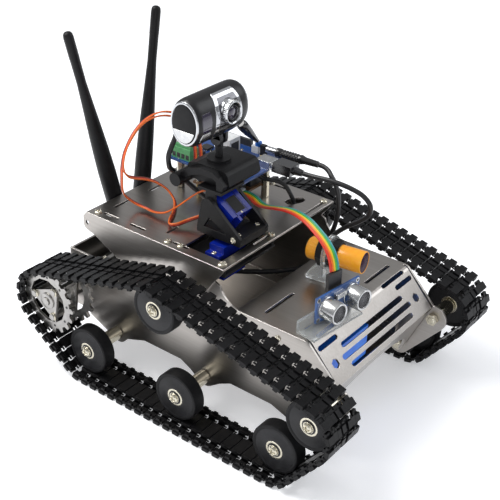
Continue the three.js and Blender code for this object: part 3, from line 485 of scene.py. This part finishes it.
# ---- Tracks and wheels ----
def belt_path():
    """Lines and arcs of the belt's inner face: (length, point function giving (y, z) and outward angle)."""
    stops = [(*IDLERS["front_low"], BELT_ON_WHEELS), (*IDLERS["rear_low"], BELT_ON_WHEELS),
             (SPROCKET_Y, SPROCKET_Z, BELT_ON_SPROCKET), (*IDLERS["top"], BELT_ON_WHEELS),
             (*IDLERS["front_high"], BELT_ON_WHEELS)]
    spans = []
    for (ay, az, ar), (by, bz, br) in zip(stops, stops[1:] + stops[:1]):
        normal = math.atan2(bz - az, by - ay) - math.acos((ar - br) / math.hypot(by - ay, bz - az))
        spans.append((normal, (ay, az, ar), (by, bz, br)))
    pieces = []
    for i, (normal, (ay, az, ar), (by, bz, br)) in enumerate(spans):
        c, s = math.cos(normal), math.sin(normal)
        start, end = (ay + ar * c, az + ar * s), (by + br * c, bz + br * s)
        pieces.append((math.dist(start, end), lambda t, p=start, q=end, n=normal:
                       (p[0] + (q[0] - p[0]) * t, p[1] + (q[1] - p[1]) * t, n)))
        sweep = (spans[(i + 1) % len(spans)][0] - normal) % (2 * math.pi)
        pieces.append((sweep * br, lambda t, y=by, z=bz, r=br, n=normal, w=sweep:
                       (y + r * math.cos(n + w * t), z + r * math.sin(n + w * t), n + w * t)))
    return pieces


PATH = belt_path()
BELT_LENGTH = sum(length for length, _ in PATH)
PITCH = BELT_LENGTH / LINKS


def belt_place(side, along):
    """Carries (across, along, outward) of one link to its place on the belt."""
    rest = along % BELT_LENGTH
    for length, point in PATH:
        if rest <= length:
            y, z, angle = point(rest / length)
            c, s = math.cos(angle), math.sin(angle)
            return Matrix(((side, 0, 0, 0), (0, -s, c, y), (0, c, s, z), (0, 0, 0, 1)))
        rest -= length
    return belt_place(side, 0)


def track(label, side):
    """A link has three plates, raised lugs, bridges over the two tooth slots, ribs, and guides inside."""
    piece = Piece(f"track_{label}_links")
    near, far = -0.17 * PITCH, 0.45 * PITCH
    for i in range(LINKS):
        at = belt_place(side, (i + 0.5) * PITCH)
        for x0, x1 in ((68.9, 72.9), (77.1, 91.4), (95.6, 100.1)):
            piece.block(x0, x1, -0.46 * PITCH, far + 0.03 * PITCH, 0.1, 2.3, track_black, at)
        for x0, x1, top in ((68, 73.3, 3.8), (76.8, 80.6, 3.8), (82.3, 86.2, 3.4), (87.9, 91.7, 3.8),
                            (95.3, 101, 3.8)):
            piece.block(x0, x1, near, far, 1.2, top, track_black, at)
        for x0, x1 in ((72.7, 77.3), (91.2, 95.8)):
            piece.block(x0, x1, near - 0.6, far, 2.95, 3.7, track_black, at)
            piece.block(x0, x0 + 1.6, -0.47 * PITCH, far, 2.95, 3.4, track_black, at)
            piece.block(x1 - 1.6, x1, -0.47 * PITCH, far, 2.95, 3.4, track_black, at)
        for x0, x1 in ((77.6, 80.2), (83, 85.5), (88.3, 90.9)):
            piece.block(x0, x1, -0.44 * PITCH, -0.28 * PITCH, 2.1, 3.1, track_black, at)
        for x0, x1 in ((68.9, 70.8), (98.2, 100.1)):
            piece.block(x0, x1, -0.2 * PITCH, 0.2 * PITCH, -1.3, 0.3, track_black, at)
    piece.done("chassis", 0.22, [f"track_{label}"], 1)


def wheel(label, side, place, y, z):
    at = on_axle(side, y, z)
    r, inner, outer = WHEEL_RADIUS, WHEEL_INNER, WHEEL_OUTER
    piece = Piece(f"wheel_{label}_{place}_tyre")
    piece.turned([(14.6, inner), (r - 0.8, inner), (r, inner + 0.8), (r, outer - 1), (r - 0.3, outer - 0.3),
                  (r - 1, outer), (15.6, outer), (14.6, outer - 0.5)], tread_black, at, 64)
    piece.turned([(6.1, inner + 0.4), (14.8, inner + 0.4), (14.8, outer - 0.5), (14.2, outer - 0.3),
                  (9.2, outer - 0.3), (8.6, outer + 0.1), (6.1, outer + 0.1)], wheel_grey, at, 64)
    piece.turned([(2.9, inner + 0.1), (6.3, inner + 0.1), (6.3, outer + 0.2), (5.9, outer + 0.35),
                  (5.2, outer + 0.35), (4.9, outer + 0.1), (2.9, outer + 0.1)], nickel, at, 48)
    piece.turned([(2.9, outer), (5.0, outer), (5.0, outer + 0.2), (2.9, outer + 0.2)], chip_black, at, 48)
    piece.done(f"wheel_{label}_{place}", 0, [f"wheel_{label}_{place}"])
    bolt = Piece(f"axle_{label}_{place}_bolt")
    tip, shell, spacer, head = SHELL_SIDE - 5.4, SHELL_SIDE, inner - 0.5, outer + 0.9
    bolt.turned([(0, shell), (2.5, shell), (2.5, head), (0, head)], nickel, at, 24)
    bolt.turned([(2.3, shell + 0.3), (4.6, shell + 0.3), (5, shell + 0.7), (5, spacer - 0.4), (4.6, spacer),
                 (2.3, spacer)], nickel, at, 40)
    bolt.turned([(0, tip), (1.9, tip), (2.5, tip + 0.6), (2.5, shell), (0, shell)], nickel, at, 24)
    bolt.prism(polygon(4.4, 6), tip + 0.6, tip + 3.5, nickel, at)
    bolt.turned([(0, head - 0.35), (3.9, head - 0.35), (3.9, head + 0.05), (0, head + 0.05)], nickel, at, 40)
    bolt.screw(3.5, 2.2, nickel, at @ move(0, 0, head))
    bolt.done("chassis", 0, [f"axle_{label}_{place}"])


def sprocket_fittings(label, side):
    piece = Piece(f"sprocket_{label}_fittings")
    at = on_axle(side, SPROCKET_Y, SPROCKET_Z)
    face = SPROCKET_FACE
    screw_circle, hole_circle = 12.4, 19.4
    for degrees in (7.7, 127.7, 247.7):
        angle = math.radians(degrees)
        spot = move(screw_circle * math.cos(angle), screw_circle * math.sin(angle), face + 0.05)
        piece.screw(3.1, 1.7, nickel, at @ spot)
    piece.turned([(3.1, face - 0.1), (6.2, face - 0.1), (6.2, face + 0.8), (5.6, face + 1.2),
                  (3.1, face + 1.2)], bright_steel, at)
    # Dark discs at the nine holes: painted shade standing for the holes.
    for i in range(9):
        angle = math.radians(40 * i + 14)
        spot = move(hole_circle * math.cos(angle), hole_circle * math.sin(angle), face)
        piece.turned([(0, -0.2), (1.0, -0.2), (1.0, 0.06), (0, 0.06)], chip_black, at @ spot, 20)
    piece.done(f"sprocket_{label}", 0)


for label, side in SIDES:
    track(label, side)
    sprocket_fittings(label, side)
    for place, (y, z) in IDLERS.items():
        wheel(label, side, place, y, z)


# ---- Webcam ----
def oval(x, scale, count=56):
    cx, cy, cz = CAMERA
    return [(x, cy + scale * CAMERA_HALF_DEPTH * math.cos(2 * math.pi * i / count),
             cz + scale * CAMERA_HALF_HEIGHT * math.sin(2 * math.pi * i / count)) for i in range(count)]


def patch(piece, middle, half, start, end, low, high, surface, waist=0.0, steps=24):
    """A strip of the camera's skin round its front, between two angles, from one scale to another."""
    _, cy, cz = CAMERA
    sections = []
    for i in range(steps + 1):
        angle = math.radians(start + (end - start) * i / steps)
        reach = half - waist * abs(2 * i / steps - 1) ** 2
        ring = [(middle - reach, low), (middle - reach * 0.96, high), (middle + reach * 0.96, high),
                (middle + reach, low)]
        sections.append([(x, cy + k * CAMERA_HALF_DEPTH * math.cos(angle),
                          cz + k * CAMERA_HALF_HEIGHT * math.sin(angle)) for x, k in ring])
    piece.loft(sections, surface)


def webcam():
    cx, cy, cz = CAMERA
    piece = Piece("camera_shell")
    ends = [(0, 0.84), (0.5, 0.90), (1.4, 0.94), (2.6, 0.972), (4, 0.99), (6, 1.0)]
    left, right = cx + CAMERA_HALF_LENGTH, cx - CAMERA_HALF_LENGTH
    stations = [(right + d, k) for d, k in ends] + [(left - d, k) for d, k in reversed(ends)]
    piece.loft([oval(x, k) for x, k in stations], camera_black)
    patch(piece, LENS[0], 13.4, 112, 262, 0.96, 1.02, chrome, 3.6)
    patch(piece, LENS[0] + 0.4, 10.2, 130, 238, 0.99, 1.03, smoke, 2.0)
    patch(piece, cx - 17.2, 4.6, 152, 196, 0.97, 1.012, lens_glass, 0.9)
    patch(piece, cx - 17.2, 4.6, 200, 226, 0.97, 1.012, silver, 0.9)
    for side in (-1, 1):
        x = cx + side * CAMERA_HALF_LENGTH
        piece.loft([oval(x - side * 1.3, 0.915), oval(x + side * 0.15, 0.895), oval(x + side * 0.4, 0.86),
                    oval(x + side * 0.4, 0.80), oval(x - side * 0.5, 0.78)], chrome)
        piece.loft([oval(x - side * 0.5, 0.785), oval(x + side * 0.45, 0.77), oval(x + side * 0.7, 0.66),
                    oval(x + side * 0.8, 0.3)], matt_black)
        window = [(x + side * 0.5, cy + 9.2 * math.cos(math.radians(angle)),
                   cz + 12.4 * math.sin(math.radians(angle))) for angle in range(202, 339, 8)]
        piece.loft([window, [(a + side * 0.5, b, c) for a, b, c in window]], silver)
    at = move(*LENS) @ FRONTWARD
    piece.turned([(0, -14), (8.2, -14), (8.2, -4.4), (7.7, -3.8), (0, -3.8)], chrome, at, 56)
    piece.turned([(4.35, -4), (4.85, -4), (4.85, -1), (4.6, -0.8), (4.35, -1.2)], smoke, at, 48)
    piece.turned([(0, -4), (4.4, -4), (4.4, -2.6), (3.6, -1.8), (2.2, -1.2), (0, -0.9)], lens_glass, at, 48)
    for side in (-1, 1):
        low, high = sorted((STEM_X + side * 1.5, STEM_X + side * 4))
        piece.turned([(0, low), (4.4, low), (4.4, high), (0, high)], camera_black,
                     on_axle(1, STEM_Y, STEM_Z), 32)
        piece.block(low, high, STEM_Y - 4.4, STEM_Y + 4.4, STEM_Z, STEM_Z + 5.5, camera_black)
    piece.done("camera", 0.15, ["camera_body"])
    ring = Piece("focus_ring_grip")
    ring.turned([(6.4, -3.5), (7.7, -3.5), (7.8, -3.1), (7.8, -0.7), (7.3, 0), (6.9, 0), (6.4, -0.5)],
                chrome, at, 56)
    ring.turned([(5.0, -3.5), (6.4, -3.5), (6.4, -0.6), (5.2, -2.2), (5.0, -2.6)], gloss_black, at, 56)
    for i in range(40):
        ring.block(7.55, 7.95, -0.22, 0.22, -3.2, -0.9, silver, at @ turn(9 * i, "Z"))
    ring.done("lens", 0, ["focus_ring"])


webcam()


# ---- Antennas ----
for label, x, lean, top in ANTENNAS:
    piece = Piece(f"antenna_{label}_whip")
    at = move(x, ANTENNA_Y, ANTENNA_Z) @ turn(lean, "Y")
    ridges = [p for i in range(3) for p in ((6.35, 8 + 4 * i), (5.9, 9 + 4 * i), (6.35, 10 + 4 * i))]
    taper = [(6.3, top - 112), (6.1, top - 104), (5.7, top - 92), (5.2, top - 80), (4.6, top - 68),
             (4, top - 56), (3.55, top - 46), (3.2, top - 38)]
    cap = [(3.3, top - 20), (3.4, top - 19.4), (3.4, top - 4), (3.1, top - 1.8), (2.4, top - 0.7),
           (1.2, top - 0.1), (0, top)]
    piece.turned([(0, -5), (5, -5), (6.3, -3.5), *ridges, *taper, *cap], matt_black, at, 48)
    whip = piece.done(None, 0, [f"antenna_{label}_blade"])
    cut_away(whip, f"antenna_{label}_blade", -2.1, 2.1, -8, 8, -6, 7.5, at)


# ---- Distance sensors ----
def ultrasonic():
    at = move(*SONAR) @ turn(SONAR_YAW, "Z")
    piece = Piece("ultrasonic_module")
    piece.block(-20.4, 20.4, 0, 1.6, -9.1, 9.1, sonar_blue, at)
    for x in (-11.8, 11.8):
        can = at @ move(x, 0, 0) @ FRONTWARD
        piece.turned([(0, -0.2), (7.6, -0.2), (7.6, 1.2), (7.2, 1.6), (7.2, 11.3), (6.9, 11.9), (6.2, 12),
                      (5.6, 11.6), (5.5, 10.4), (0, 10.4)], silver, can, 56)
        piece.turned([(0, 10.2), (5.5, 10.2), (5.5, 10.7), (3, 10.9), (0, 10.95)], mesh_dark, can, 40)
        for i in range(-4, 5):
            reach = math.sqrt(5.3 ** 2 - (i * 1.15) ** 2)
            piece.block(i * 1.15 - 0.13, i * 1.15 + 0.13, -reach, reach, 10.8, 11.1, smoke, can)
            piece.block(-reach, reach, i * 1.15 - 0.13, i * 1.15 + 0.13, 10.8, 11.15, smoke, can)
    piece.block(-4.4, 4.4, -3.2, 0.2, 3.2, 6.6, silver, at)
    for x in (-18.4, 18.4):
        for z in (-7.2, 7.2):
            hole = at @ move(x, 0, z) @ FRONTWARD
            piece.turned([(0.9, -0.1), (1.7, -0.1), (1.7, 0.12), (0.9, 0.12)], silver, hole, 24)
            # Dark disc inside each plated ring: painted shade standing for the mounting hole.
            piece.turned([(0, -0.1), (0.9, -0.1), (0.9, 0.05), (0, 0.05)], chip_black, hole, 24)
    for i in range(6):
        surface = (socket_white, chip_black)[i % 2]
        piece.block(-5 + 1.8 * i, -4.1 + 1.8 * i, -0.6, 0.2, -7.6, -6.1, surface, at)
    piece.block(-5.5, 7, 1.2, 4.2, 5, 7.6, chip_black, at)
    piece.block(-5.5, 7, 3.9, 6.6, 5, 18, chip_black, at)
    piece.done("chassis", 0.12, ["ultrasonic_board"])


def infrared():
    at = move(*INFRARED) @ turn(INFRARED_YAW, "Z") @ FRONTWARD
    piece = Piece("infrared_sensor")
    threads = [p for i in range(19) for p in ((7.7, -18.6 + i * 1.05), (7.5, -18.1 + i * 1.05))]
    piece.turned([(0, -20.2), (6.6, -20.2), (7.4, -19.4), *threads, (7.7, 3), (7.7, 19.9), (7.5, 20.2),
                  (7.1, 20.2), (7.0, 19.6), (0, 19.6)], orange, at, 56)
    piece.turned([(0, 19.4), (7.0, 19.4), (7.0, 20.0), (0, 20.2)], sensor_purple, at, 48)
    piece.turned([(0, -20.3), (5.2, -20.3), (5.2, -20.0), (0, -20.0)], chip_black, at, 32)
    for low, high in ((-11.6, -6.8), (-2.6, 2.2)):
        piece.prism(polygon(10.4, 6), low, high, matt_black, at)
        piece.turned([(0, low - 0.5), (9, low - 0.5), (9, high + 0.5), (0, high + 0.5)], matt_black, at)
    piece.done("chassis", 0.3, ["infrared_barrel"])


ultrasonic()
infrared()


# ---- Boards ----
def header(piece, at, x, y, z, count, along="y", tall=2.5, gold=True):
    for i in range(count):
        dx, dy = (2.54 * i, 0) if along == "x" else (0, 2.54 * i)
        piece.block(x + dx, x + dx + 2.4, y + dy, y + dy + 2.4, z, z + tall, chip_black, at)
        if gold:
            piece.block(x + dx + 0.9, x + dx + 1.5, y + dy + 0.9, y + dy + 1.5, z, z + tall + 3, brass, at)


def chip(piece, at, x0, x1, y0, y1, tall):
    piece.block(x0, x1, y0, y1, 0.3, tall, chip_black, at)
    count = int((y1 - y0) / 1.3)
    for i in range(count):
        y = y0 + 0.5 + 1.3 * i
        piece.block(x0 - 0.9, x1 + 0.9, y, y + 0.45, 0, 0.5, silver, at)


def controller():
    at = move(*BOARD)
    piece = Piece("controller_electronics")
    piece.block(0, 55, 0, 68, -1.6, 0, board_blue, at)
    piece.block(2, 11, 49, 66, 0, 8.6, terminal_green, at)
    piece.block(3, 8.4, 49.4, 65.6, 8.4, 11, terminal_green, at)
    for i in range(4):
        piece.screw(1.5, 0.5, silver, at @ move(5.6, 51.4 + 4.1 * i, 11))
        piece.block(1.8, 2.4, 50.1 + 4.1 * i, 52.9 + 4.1 * i, 1.2, 4.6, chip_black, at)
    piece.block(23, 35, 30, 43, 0, 15, socket_white, at)
    piece.block(24.8, 33.2, 29.8, 30.4, 2, 12, chip_black, at)
    piece.block(28, 38.2, -1.6, 10.5, 0, 5.6, silver, at)
    piece.block(29, 37.2, -1.7, -1.2, 1.2, 4.4, chip_black, at)
    piece.block(43.6, 47, 14.4, 18.6, 0, 8.2, chip_black, at)
    piece.block(44.4, 51, 21, 27, 0, 5.4, socket_white, at)
    piece.turned([(0, 5), (2.6, 5), (2.6, 8), (2.2, 8.5), (0, 8.5)], knob_blue, at @ move(47.3, 22.6, 0), 32)
    piece.block(45.3, 49.3, 22.3, 22.9, 8.3, 8.7, socket_white, at)
    piece.turned([(0, 0), (3.2, 0), (3.2, 0.6), (3, 1), (3.2, 1.4), (3.2, 8.6), (2.8, 9), (0, 9)], silver,
                 at @ move(35.6, 46.8, 0), 36)
    header(piece, at, 2.2, 32.2, 0, 6)
    header(piece, at, 2.2, 3.4, 0, 10, gold=False, tall=5.2)
    header(piece, at, 50.6, 32, 0, 13, gold=False, tall=5.2)
    header(piece, at, 13, 64.6, 0, 8, "x")
    chip(piece, at, 13.6, 20.4, 50, 63, 2)
    chip(piece, at, 25, 32, 52, 59, 1.6)
    chip(piece, at, 12, 19, 14, 30, 3)
    for i in range(26):
        x, y = 7 + (i * 17) % 38, 5 + (i * 23) % 56
        surface = (socket_white, chip_black, brass)[i % 3]
        piece.block(x, x + 1.6, y, y + 0.9, 0, 0.7, surface, at)
        piece.block(x - 0.3, x + 1.9, y + 0.1, y + 0.8, 0, 0.3, silver, at)
    foot = STANDOFF_FOOT - BOARD[2]
    for x, y in ((31, 3.6), (51.5, 60), (4.5, 60)):
        piece.prism(polygon(2.8, 6), foot, -1.6, nickel, at @ move(x, y, 0))
        piece.screw(2.6, 1.4, nickel, at @ move(x, y, 0))
    piece.done("chassis", 0.12, ["controller_board"], 1)


def power():
    piece = Piece("power_electronics")
    piece.block(8, 46, 22, 62, 120.4, 122, board_brown)
    for x, y in ((11, 24.5), (43, 24.5), (11, 59), (43, 59)):
        piece.turned([(0, STANDOFF_FOOT), (1.8, STANDOFF_FOOT), (1.8, 120.5), (0, 120.5)], brass,
                     move(x, y, 0), 24)
        piece.screw(2.0, 1, nickel, move(x, y, 122))
    piece.block(10, 18, 22.2, 25, 121.8, 125, socket_white)
    piece.block(11, 23, 26, 35, 122, 129, chip_black)
    piece.block(26, 38, 24, 32, 122, 127.5, chip_black)
    coil = [(2.2, 0), (5, 0), (5.6, 1), (5.6, 4), (5, 5), (2.2, 5)]
    piece.turned(coil, brass, move(17, 42, 122), 36)
    piece.turned([(0, 0), (4, 0), (4, 8.6), (3.6, 9), (0, 9)], silver, move(30, 40, 122), 36)
    chip(piece, move(0, 0, 122), 25, 35, 50, 58, 1.8)
    piece.done("chassis", 0.12, ["power_board"], 1)


controller()
power()


# ---- Fasteners and servo trim ----
def fasteners():
    piece = Piece("deck_screws")
    for x in (-57, 57):
        for y in (-18, 28, 92):
            piece.screw(2.7, 1.5, nickel, move(x, y, SCREW_SEAT))
    for x, y in ((-56, -18.6), (-56, 17.6), (-5.5, -18.6), (-5.5, 17.6)):
        piece.screw(2.4, 1.3, nickel, move(x, y, SCREW_SEAT))
    for x, y in ((-37, -79), (-12, -82)):
        piece.screw(2.3, 1.2, nickel, move(x, y, 87.9) @ turn(SONAR_YAW, "Z"))
    for side in (-1, 1):
        for y in (-66, -44, 30, 84):
            piece.screw(2.2, 1.1, nickel, on_axle(side, y, 79 if y < 0 else 80) @ move(0, 0, SHELL_SIDE))
    piece.done("chassis", 0)
    mast = Piece("mast_screws")
    mast.screw(2.2, 1.1, nickel, on_axle(-1, -12, 119.8) @ move(0, 0, 38))
    for x in (PAN_X - 10, PAN_X + 10):
        mast.screw(2.0, 1.0, nickel, move(x, -12, 121.4))
    mast.done("pan", 0)
    servo = Piece("tilt_servo_trim")
    at = move(0, TILT_Y, TILT_Z) @ turn(SERVO_SLANT, "X")
    for x in (PAN_X - 5.6, PAN_X + 5.6):
        servo.block(x, x + 0.3, -17.4, 6, -6.1, 6.1, matt_black, at)
    servo.block(-27.6, -18.2, -15.2, -3.4, 5.8, 6.2, matt_black, at)
    for y in (-16.1, 4.7):
        servo.screw(0.9, 0.4, nickel, at @ move(PAN_X, y, 6))
    servo.done("pan", 0.1)
    pivot = Piece("tilt_pivot_screws")
    pivot.screw(2.6, 1.2, nickel, on_axle(-1, TILT_Y, TILT_Z) @ move(0, 0, 35.1))
    pivot.done("tilt", 0)
    trim = Piece("pan_servo_trim")
    for x in (PAN_X - 20, PAN_X + 8.4):
        trim.screw(1.8, 1, nickel, move(x, PAN_Y, 108))
    trim.turned([(0, 112.5), (5.9, 112.5), (5.9, 114), (5.4, 114.6), (0, 114.6)], matt_black,
                move(PAN_X, PAN_Y, 0), 40)
    trim.done("chassis", 0)


fasteners()

# ---- Finishes of the carried-over nodes ----
CARRIED = {
    "body_shell": stainless, "floor_pan": stainless, "deck_plate": stainless, "battery_pack": wrap_blue,
    "wifi_router": matt_black, "motor_right": bright_steel, "motor_left": bright_steel,
    "sprocket_right": bright_steel, "sprocket_left": bright_steel, "pan_cradle": matt_black,
    "pan_servo": servo_blue, "pan_yoke": matt_black, "tilt_servo": servo_blue, "tilt_bracket": matt_black,
    "camera_clip": matt_black, "camera_stem": matt_black, "antenna_right_base": matt_black,
    "antenna_left_base": matt_black, "ultrasonic_bracket": acrylic, "infrared_bracket": acrylic,
}
for node, surface in CARRIED.items():
    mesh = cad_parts[node].data
    mesh.materials.clear()
    mesh.materials.append(surface)


# ---- Floor and light ----
def floor():
    mesh = bpy.data.meshes.new("floor")
    reach = 30
    mesh.from_pydata([(-reach, -reach, -0.0003), (reach, -reach, -0.0003), (reach, reach, -0.0003),
                      (-reach, reach, -0.0003)], [], [(0, 1, 2, 3)])
    ground = bpy.data.objects.new("floor", mesh)
    bpy.context.scene.collection.objects.link(ground)
    white = finish("floor_white", (0.86, 0.87, 0.90), (0.88, 0.89, 0.915), 0.6, 0, 3, bump=0, edge=0,
                   specular=0.1)
    glow = white.node_tree.nodes["Principled BSDF"].inputs
    glow["Emission Color"].default_value = (0.97, 0.98, 1.0, 1)
    glow["Emission Strength"].default_value = 0.34
    mesh.materials.append(white)


def area(name, spot, target, size, power, colour=(1, 1, 1)):
    data = bpy.data.lights.new(name, "AREA")
    data.size, data.energy, data.color = size, power, colour
    light = bpy.data.objects.new(name, data)
    light.location = spot
    light.rotation_mode = "QUATERNION"
    light.rotation_quaternion = (Vector(target) - Vector(spot)).to_track_quat("-Z", "Y")
    bpy.context.scene.collection.objects.link(light)


def sky():
    world = bpy.data.worlds.new("studio")
    bpy.context.scene.world = world
    world.use_nodes = True
    nodes, links = world.node_tree.nodes, world.node_tree.links
    place, split = nodes.new("ShaderNodeTexCoord"), nodes.new("ShaderNodeSeparateXYZ")
    ramp = nodes.new("ShaderNodeValToRGB")
    stops = ramp.color_ramp.elements
    stops[0].position, stops[0].color = 0.0, (0.50, 0.51, 0.53, 1)
    stops[1].position, stops[1].color = 1.0, (1.0, 1.0, 1.0, 1)
    middle = stops.new(0.45)
    middle.color = (0.66, 0.67, 0.69, 1)
    links.new(place.outputs["Generated"], split.inputs[0])
    links.new(split.outputs["Z"], ramp.inputs["Fac"])
    links.new(ramp.outputs["Color"], nodes["Background"].inputs["Color"])
    nodes["Background"].inputs["Strength"].default_value = 0.6


floor()
sky()
area("key", (-0.5, 0.75, 1.25), (0, 0, 0.08), 0.9, 20, (1.0, 0.99, 0.97))
area("front", (-1.1, -0.9, 0.55), (0, 0, 0.08), 0.7, 2.6)
area("fill", (0.9, -0.7, 0.9), (0, 0, 0.08), 0.8, 5, (0.95, 0.97, 1.0))
bpy.context.scene.view_settings.view_transform = "Standard"
